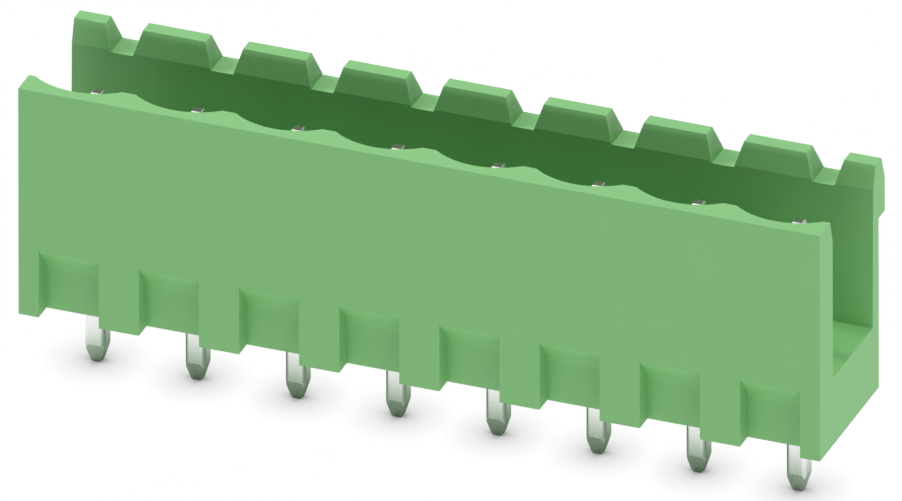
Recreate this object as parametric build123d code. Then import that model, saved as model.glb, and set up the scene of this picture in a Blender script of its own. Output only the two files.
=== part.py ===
from build123d import *
import os

# Eight-pole pin header, the board half of a pluggable screw terminal block.
# Millimetres. The origin is on the board, in the middle of the pin row.
# +X runs along the row, +Y points to the latch side, +Z to where the plug comes off.

# Row of contacts
poles = 8
pitch = 5.0

# Housing section, seen from its open end
housing_height = 12.0
pins_to_front_face = 3.8
pins_to_rear_face = 3.85
floor_thickness = 3.55
front_wall_thickness = 1.7
rear_wall_at_floor = 0.79
rear_wall_at_teeth = 0.68

# Sloped lead-in along the rim of both walls
lead_in_width = 0.31
lead_in_height = 1.18

# Front wall: a hollow for each lobe of the plug, wide enough to meet in sharp ridges
hollow_radius = 3.47
hollow_centre_behind_pins = 0.3

# Rear wall: latch rail outside, and teeth that straddle the pole boundaries
rail_projection = 0.82
rail_height = 3.0
rail_chamfer_width = 0.42
rail_chamfer_height = 1.19
tooth_height = 1.29
tooth_top_width = 3.12
tooth_base_width = 3.9

# Pockets in the foot of the front face, one before each pin
pocket_width = 3.0
pocket_depth = 1.02
pocket_height = 3.52
pocket_back_height = 2.37
pocket_ceiling_radius = 0.9

# Square contact pins, pressed through the floor
pin_width = 1.0
pin_edge_radius = 0.23
pin_tail_length = 3.9
pin_below_rim = 1.6
pin_tip_length = 1.0
pin_tip_width = 0.5
pin_end_chamfer = 0.06

row_length = poles * pitch
front_face = -pins_to_front_face
rear_face = pins_to_rear_face
lead_in_foot = housing_height - lead_in_height
notch_floor = housing_height - tooth_height


def pole_centres():
    """X of each pin, from the left end of the row to the right."""
    return [(pole + 0.5) * pitch - row_length / 2 for pole in range(poles)]


def across_row(outline, width):
    """Carry an outline drawn in Y and Z along the row, half the width each way."""
    return extrude(Plane.YZ * make_face(outline), amount=width / 2, both=True)


def housing_section():
    """The trough from end to end: floor, front wall, and rear wall with its latch rail."""
    front_inner = front_face + front_wall_thickness
    rear_inner = rear_face - rear_wall_at_teeth
    rail_face = rear_face + rail_projection
    outline = Polyline(
        (front_face, 0),
        (rear_face, 0),
        (rear_face, housing_height - rail_height),
        (rail_face, housing_height - rail_height),
        (rail_face, housing_height - rail_chamfer_height),
        (rail_face - rail_chamfer_width, housing_height),
        (rear_inner + lead_in_width, housing_height),
        (rear_inner, lead_in_foot),
        (rear_face - rear_wall_at_floor, floor_thickness),
        (front_inner, floor_thickness),
        (front_inner, lead_in_foot),
        (front_inner - lead_in_width, housing_height),
        (front_face, housing_height),
        close=True,
    )
    return across_row(outline, row_length)


def hollow():
    """The rounded space in front of one pin, where a lobe of the plug goes."""
    disc = Pos(0, hollow_centre_behind_pins) * Circle(hollow_radius)
    front_half = Pos(0, -hollow_radius) * Rectangle(2 * hollow_radius, 2 * hollow_radius)
    return Pos(0, 0, floor_thickness) * extrude(
        disc & front_half, amount=housing_height - floor_thickness
    )


def notch():
    """The gap between two teeth of the rear wall, through the wall and its rail."""
    floor_half = (pitch - tooth_base_width) / 2
    top_half = (pitch - tooth_top_width) / 2
    outline = Polyline(
        (-floor_half, notch_floor),
        (floor_half, notch_floor),
        (top_half, housing_height),
        (-top_half, housing_height),
        close=True,
    )
    past_rail = rear_face + rail_projection + pitch
    return extrude(Plane.XZ * make_face(outline), amount=-past_rail)


def pocket():
    """A pocket open to the front and to the board.

    Its ceiling slopes up and out, and turns softly into its back.
    """
    back = front_face + pocket_depth
    outline = Polyline(
        (front_face, 0),
        (back, 0),
        (back, pocket_back_height),
        (front_face, pocket_height),
        close=True,
    )
    space = across_row(outline, pocket_width)
    ceiling_foot = space.edges().filter_by(Axis.X).group_by(Axis.Y)[-1].sort_by(Axis.Z)[-1]
    return fillet(ceiling_foot, pocket_ceiling_radius)


def pin_rod(bottom, top):
    """The drawn square wire with its rounded corners, between two heights above the board."""
    section = RectangleRounded(pin_width, pin_width, pin_edge_radius)
    return Pos(0, 0, bottom) * extrude(section, amount=top - bottom)


def pin_hole():
    """The hole through the floor: the pin's own section, so that it grips all round."""
    return pin_rod(0, floor_thickness)


def pin_envelope(bottom, top):
    """A square bar swaged to a blunt four-sided point at both ends, with its end edges broken."""
    end_width = pin_tip_width - 2 * pin_end_chamfer
    half = [
        (0, end_width),
        (pin_end_chamfer, pin_tip_width),
        (pin_tip_length, pin_width),
    ]
    squares = [Pos(0, 0, bottom + rise) * Rectangle(width, width) for rise, width in half]
    squares += [Pos(0, 0, top - rise) * Rectangle(width, width) for rise, width in reversed(half)]
    return loft(squares, ruled=True)


def housing():
    body = housing_section()
    for x in pole_centres():
        body -= Pos(x) * hollow()
        body -= Pos(x) * notch()
        body -= Pos(x) * pocket()
        body -= Pos(x) * pin_hole()
    return body


def contact_pin():
    """One contact: the rounded wire, cut to its points."""
    bottom = -pin_tail_length
    top = housing_height - pin_below_rim
    return pin_rod(bottom, top) & pin_envelope(bottom, top)


os.makedirs("parts", exist_ok=True)
export_step(housing(), "parts/housing.step")
for number, x in enumerate(pole_centres(), start=1):
    export_step(Pos(x) * contact_pin(), f"parts/contact_pin_{number}.step")
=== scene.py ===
import math

import bpy
from mathutils import Matrix, Vector

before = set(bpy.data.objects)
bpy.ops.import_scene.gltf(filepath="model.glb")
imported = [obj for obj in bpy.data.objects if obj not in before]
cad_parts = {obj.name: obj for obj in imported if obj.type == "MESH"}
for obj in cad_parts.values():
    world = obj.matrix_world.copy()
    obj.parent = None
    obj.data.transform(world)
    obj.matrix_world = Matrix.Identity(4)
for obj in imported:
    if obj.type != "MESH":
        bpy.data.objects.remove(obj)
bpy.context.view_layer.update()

# Metres, in the frame of the CAD: X along the pin row, Y to the latch side, Z off the board.
MM = 0.001
PIN_BOTTOM = -3.9 * MM
PIN_TOP = 10.4 * MM
PIN_TIP = 1.0 * MM
# Half the width over which a pin's finish changes where its point begins, and at its cut end.
TIP_BLEND = 0.04 * MM
CUT_BLEND = 0.01 * MM

# Patterns, as cycles in a metre. The streaks are far longer down the pin than across it.
CLOUDS = 350.0
SPECKS = 9000.0
MOULD_GRAIN = 16000.0
DRAWN_STREAKS = (30000.0, 30000.0, 900.0)

# Finishes. The green and the tin each run between two shades.
GREEN_DEEP = (0.191, 0.478, 0.167, 1)
GREEN_PALE = (0.205, 0.510, 0.179, 1)
TIN_SOFT = (0.83, 0.85, 0.83, 1)
TIN_CLEAR = (0.90, 0.91, 0.90, 1)
# The cut ends' dark green-grey is partly bare cut metal and partly painted shade, with a painted
# reflection of the green housing.
CUT_END_PAINTED_SHADE = (0.08, 0.11, 0.07, 1)
WHITE = (1, 1, 1, 1)

# The photograph is taken from so far away that it has no perspective.
VIEW_TURN = math.radians(21.06)
VIEW_HEIGHT = math.radians(28.99)
VIEW_ROLL = math.radians(0.117)
VIEW_WIDTH = 42.03 * MM
VIEW_TARGET = Vector((0.133 * MM, 0.0, 5.3655 * MM))
CAMERA_DISTANCE = 0.5

# Light: a faint even sky, a glowing table, and softboxes as name, place, width, height and watts.
SKY = 0.055
TABLE_GLOW = 0.973
SOFTBOXES = [
    ("softbox_overhead", (0.0, 0.0, 0.8), 0.3, 0.3, 2.5),
    ("softbox_behind", (0.0, 0.35, 0.7), 0.3, 0.3, 1.2),
    ("softbox_left", (-0.63, 0.0, 0.49), 0.3, 0.3, 4.2),
    ("softbox_right", (0.6, 0.0, 0.08), 0.15, 0.15, 0.86),
    ("strip_front", (0.0, -0.6, 0.023), 0.4, 0.04, 0.75),
    ("strip_right", (0.52, -0.3, 0.023), 0.4, 0.04, 0.54),
]

# Table, and the shade that the pins and the housing throw on it.
TABLE_HALF = 1.5
SHADE_SAMPLES = 16
CONTACT_SHADE_REACH = 2.35 * MM
CONTACT_SHADE_POWER = 1.2
HOUSING_SHADE_REACH = 6.0 * MM
HOUSING_SHADE_POWER = 2.2
HOUSING_SHADE_GAIN = 1.6
# The housing's shade is greenish: its red and blue fall off faster than its green.
SHADE_RED_POWER = 1.3
SHADE_BLUE_POWER = 1.33


class Recipe:
    """A node tree written as calls: each call adds a node and links or sets its inputs."""

    def __init__(self, owner):
        owner.use_nodes = True
        self.tree = owner.node_tree
        self.tree.nodes.clear()

    def add(self, kind, settings=None, **inputs):
        """Add a node. An input is named by its label, or by its number after an underscore."""
        node = self.tree.nodes.new(kind)
        for name, value in (settings or {}).items():
            setattr(node, name, value)
        for key, value in inputs.items():
            socket = node.inputs[int(key[1:])] if key[0] == "_" else node.inputs[key.replace("_", " ")]
            self.put(socket, value)
        return node

    def put(self, socket, value):
        """Link an output to the socket, or set the socket to a plain value."""
        if isinstance(value, bpy.types.NodeSocket):
            self.tree.links.new(value, socket)
        else:
            socket.default_value = value

    def math(self, operation, a, b, clamp=False):
        node = self.add("ShaderNodeMath", {"operation": operation, "use_clamp": clamp}, _0=a, _1=b)
        return node.outputs[0]

    def step(self, value, start, end, low=0.0, high=1.0):
        """Smooth step from low to high while value goes from start to end."""
        node = self.add("ShaderNodeMapRange", {"interpolation_type": "SMOOTHSTEP"},
                        _0=value, _1=start, _2=end, _3=low, _4=high)
        return node.outputs[0]

    def noise(self, place, scale, detail, roughness=0.5):
        node = self.add("ShaderNodeTexNoise", None, Vector=place, Scale=scale, Detail=detail,
                        Roughness=roughness)
        return node.outputs[0]

    def blend(self, share, a, b):
        """Colour a where share is 0 and colour b where it is 1."""
        node = self.add("ShaderNodeMix", {"data_type": "RGBA"}, _0=share, _6=a, _7=b)
        return node.outputs[2]

    def mix(self, share, a, b):
        """Shader node a where share is 0 and shader node b where it is 1."""
        return self.add("ShaderNodeMixShader", None, _0=share, _1=a.outputs[0], _2=b.outputs[0])

    def shade(self, reach):
        """1 where a surface lies open, falling to 0 where things within reach of it hide the sky."""
        node = self.add("ShaderNodeAmbientOcclusion", {"samples": SHADE_SAMPLES}, Distance=reach)
        return node.outputs["AO"]


def moulded_polyamide():
    """Matt green nylon: faint cloudiness in its colour, and the fine grain of a spark-eroded mould."""
    material = bpy.data.materials.new("moulded_polyamide")
    r = Recipe(material)
    place = r.add("ShaderNodeTexCoord").outputs["Object"]
    cloud = r.noise(place, CLOUDS, 3.0)
    speck = r.noise(place, SPECKS, 2.0)
    tone = r.math("ADD", r.math("MULTIPLY", cloud, 0.7), r.math("MULTIPLY", speck, 0.3))
    colour = r.blend(tone, GREEN_DEEP, GREEN_PALE)
    grain = r.noise(place, MOULD_GRAIN, 3.0, 0.6)
    bump = r.add("ShaderNodeBump", None, Strength=0.12, Distance=0.01 * MM, Height=grain)
    sheen = r.step(grain, 0.3, 0.7, 0.46, 0.54)
    skin = r.add("ShaderNodeBsdfPrincipled", None, Base_Color=colour, Roughness=sheen,
                 Normal=bump.outputs[0])
    r.add("ShaderNodeOutputMaterial", None, Surface=skin.outputs[0])
    return material


def tin_plating():
    """Bright tin drawn along the pin in fine streaks, rougher on the points. The cut ends are bare
    metal darkened by painted shade and a painted green reflection.
    """
    material = bpy.data.materials.new("tin_plating")
    r = Recipe(material)
    place = r.add("ShaderNodeTexCoord").outputs["Object"]
    z = r.add("ShaderNodeSeparateXYZ", None, Vector=place).outputs[2]
    foot = r.step(z, PIN_BOTTOM + PIN_TIP + TIP_BLEND, PIN_BOTTOM + PIN_TIP - TIP_BLEND)
    head = r.step(z, PIN_TOP - PIN_TIP - TIP_BLEND, PIN_TOP - PIN_TIP + TIP_BLEND)
    point = r.math("MAXIMUM", foot, head)
    cut_foot = r.step(z, PIN_BOTTOM + 2 * CUT_BLEND, PIN_BOTTOM + CUT_BLEND)
    cut_head = r.step(z, PIN_TOP - 2 * CUT_BLEND, PIN_TOP - CUT_BLEND)
    cut = r.math("MAXIMUM", cut_foot, cut_head)
    drawn = r.add("ShaderNodeMapping", None, Vector=place, Scale=DRAWN_STREAKS).outputs[0]
    streak = r.noise(drawn, 1.0, 3.0, 0.6)
    # At the cut ends the colour is painted shade and a painted green reflection over the bare metal.
    colour = r.blend(cut, r.blend(streak, TIN_SOFT, TIN_CLEAR), CUT_END_PAINTED_SHADE)
    rough = r.math("ADD", r.step(streak, 0.3, 0.7, 0.12, 0.22), r.math("MULTIPLY", point, 0.10))
    rough = r.math("ADD", rough, r.math("MULTIPLY", cut, 0.25))
    bump = r.add("ShaderNodeBump", None, Strength=0.12, Distance=0.004 * MM, Height=streak)
    skin = r.add("ShaderNodeBsdfPrincipled", None, Base_Color=colour, Metallic=1.0,
                 Roughness=rough, Normal=bump.outputs[0])
    r.add("ShaderNodeOutputMaterial", None, Surface=skin.outputs[0])
    return material


def seen_directly(r):
    """1 where the picture, a reflection or a refraction looks at the surface, 0 for its light."""
    path = r.add("ShaderNodeLightPath").outputs
    reflected = r.math("MAXIMUM", path["Is Glossy Ray"], path["Is Transmission Ray"])
    return r.math("MAXIMUM", path["Is Camera Ray"], reflected)


def table_white():
    """White table that lights the part evenly from below, and has no underside.

    The picture shows it plain white, darker only close to where a pin touches it. Reflections
    show the wider shade under the housing instead, tinted by the green above it.
    """
    material = bpy.data.materials.new("table_white")
    r = Recipe(material)
    contact = r.math("POWER", r.shade(CONTACT_SHADE_REACH), CONTACT_SHADE_POWER)
    level = r.math("MULTIPLY", r.math("POWER", r.shade(HOUSING_SHADE_REACH), HOUSING_SHADE_POWER),
                   HOUSING_SHADE_GAIN, clamp=True)
    under_housing = r.add("ShaderNodeCombineColor", None, Red=r.math("POWER", level, SHADE_RED_POWER),
                          Green=level, Blue=r.math("POWER", level, SHADE_BLUE_POWER)).outputs[0]
    mirrored = r.add("ShaderNodeLightPath").outputs["Is Glossy Ray"]
    looks = r.add("ShaderNodeEmission", None, Color=r.blend(mirrored, contact, under_housing))
    glow = r.add("ShaderNodeEmission", None, Strength=TABLE_GLOW)
    top = r.mix(seen_directly(r), glow, looks)
    underside = r.add("ShaderNodeNewGeometry").outputs["Backfacing"]
    both = r.mix(underside, top, r.add("ShaderNodeBsdfTransparent"))
    r.add("ShaderNodeOutputMaterial", None, Surface=both.outputs[0])
    return material


def table():
    """A level square table top that the pin tips stand on."""
    mesh = bpy.data.meshes.new("table")
    corners = [(-TABLE_HALF, -TABLE_HALF, PIN_BOTTOM), (TABLE_HALF, -TABLE_HALF, PIN_BOTTOM),
               (TABLE_HALF, TABLE_HALF, PIN_BOTTOM), (-TABLE_HALF, TABLE_HALF, PIN_BOTTOM)]
    mesh.from_pydata(corners, [], [(0, 1, 2, 3)])
    top = bpy.data.objects.new("table", mesh)
    mesh.materials.append(table_white())
    bpy.context.scene.collection.objects.link(top)


def sky():
    """Even sky that reads as plain white in the picture and in reflections."""
    world = bpy.data.worlds.new("sky")
    r = Recipe(world)
    light = r.add("ShaderNodeBackground", None, Color=WHITE, Strength=SKY)
    looks = r.add("ShaderNodeBackground", None, Color=WHITE)
    both = r.mix(seen_directly(r), light, looks)
    r.add("ShaderNodeOutputWorld", None, Surface=both.outputs[0])
    bpy.context.scene.world = world


def softbox(name, place, width, height, watts):
    """A rectangular lamp that faces the part, with its width level."""
    lamp = bpy.data.lights.new(name, "AREA")
    lamp.shape = "RECTANGLE"
    lamp.size = width
    lamp.size_y = height
    lamp.energy = watts
    holder = bpy.data.objects.new(name, lamp)
    holder.location = place
    holder.rotation_euler = Vector(place).to_track_quat("Z", "Y").to_euler()
    bpy.context.scene.collection.objects.link(holder)


def camera():
    """Parallel view, turned to the right of the front and raised, with a trace of roll."""
    back = Vector((math.sin(VIEW_TURN) * math.cos(VIEW_HEIGHT),
                   -math.cos(VIEW_TURN) * math.cos(VIEW_HEIGHT), math.sin(VIEW_HEIGHT)))
    level = Vector((math.cos(VIEW_TURN), math.sin(VIEW_TURN), 0.0))
    upright = back.cross(level)
    right = level * math.cos(VIEW_ROLL) - upright * math.sin(VIEW_ROLL)
    up = level * math.sin(VIEW_ROLL) + upright * math.cos(VIEW_ROLL)
    lens = bpy.data.cameras.new("camera")
    lens.type = "ORTHO"
    lens.ortho_scale = VIEW_WIDTH
    lens.clip_start = 0.01
    lens.clip_end = 10.0
    holder = bpy.data.objects.new("camera", lens)
    holder.matrix_world = Matrix.Translation(VIEW_TARGET + back * CAMERA_DISTANCE) @ Matrix(
        (right, up, back)).transposed().to_4x4()
    bpy.context.scene.collection.objects.link(holder)
    bpy.context.scene.camera = holder


def dress(node, material):
    """Give a CAD node its finish."""
    node.data.materials.clear()
    node.data.materials.append(material)


plastic = moulded_polyamide()
tin = tin_plating()
for name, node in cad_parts.items():
    dress(node, tin if name.startswith("contact_pin") else plastic)

table()
sky()
for row in SOFTBOXES:
    softbox(*row)
camera()
bpy.context.scene.view_settings.view_transform = "Standard"
